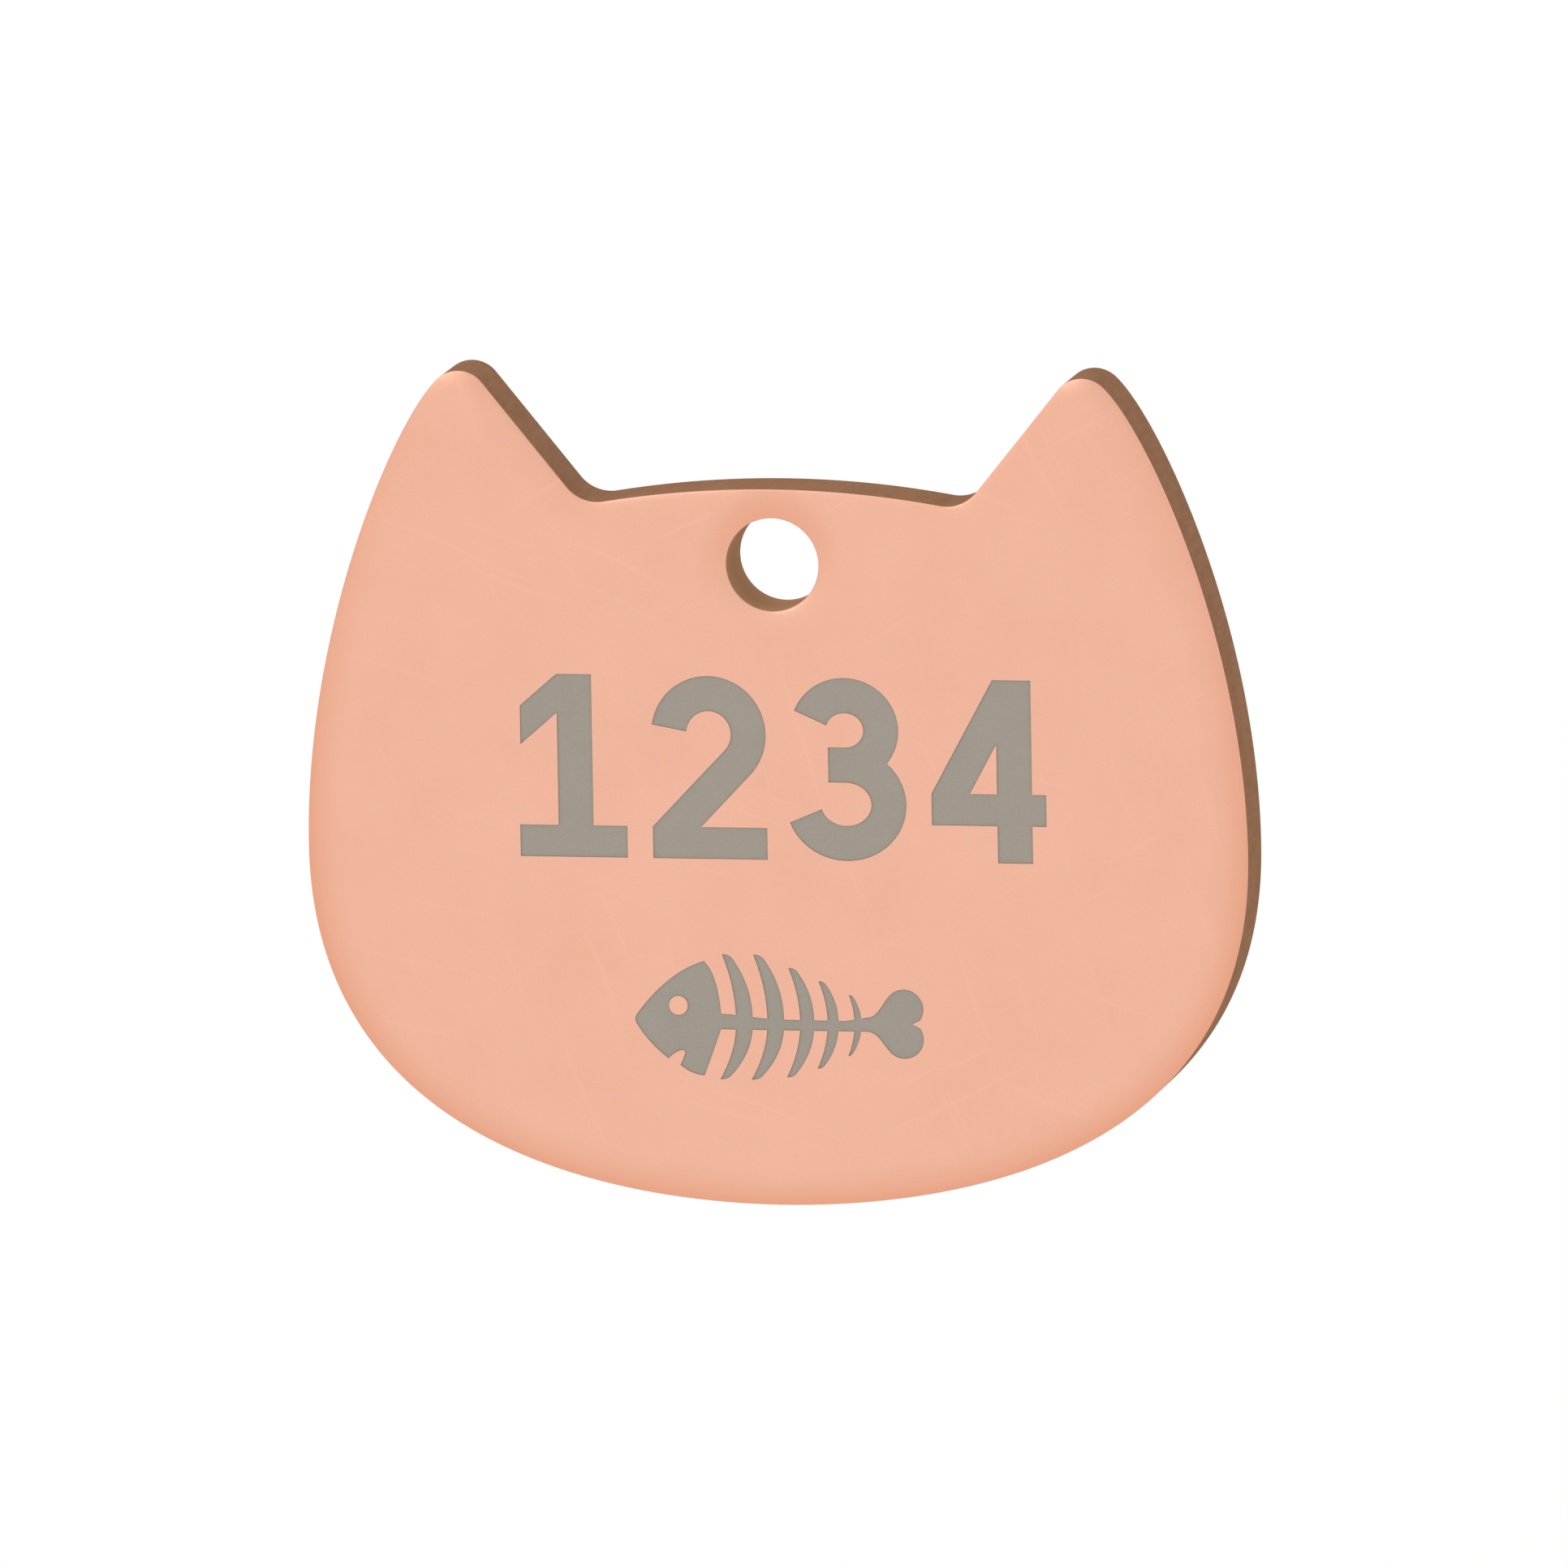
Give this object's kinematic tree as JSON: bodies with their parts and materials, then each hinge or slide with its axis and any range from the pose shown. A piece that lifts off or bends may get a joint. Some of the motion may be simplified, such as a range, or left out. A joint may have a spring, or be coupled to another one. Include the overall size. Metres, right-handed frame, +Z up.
{
  "type": "pet id tag",
  "caption": "Cat-head shaped collar tag: a flat plate with rose-gold face layers, a ring hole between the ears, and a grey fishbone mark filled into the front.",
  "frame": {"origin": "centre of the ring hole, halfway through the thickness", "axes": "+X to the right across the ears as seen from the front, +Y through the thickness towards the back, +Z up from the chin to the ears; the marked front faces -Y"},
  "size_m": [0.028, 0.0024, 0.0246],
  "materials": {
    "bare_edge": "matte",
    "rose_gold": "satin",
    "grey_infill": "satin"
  },
  "bodies": {
    "root": {"core_plate": "bare_edge", "front_skin": "rose_gold", "back_skin": "rose_gold", "fishbone_inlay": "grey_infill"}
  },
  "joints": []
}
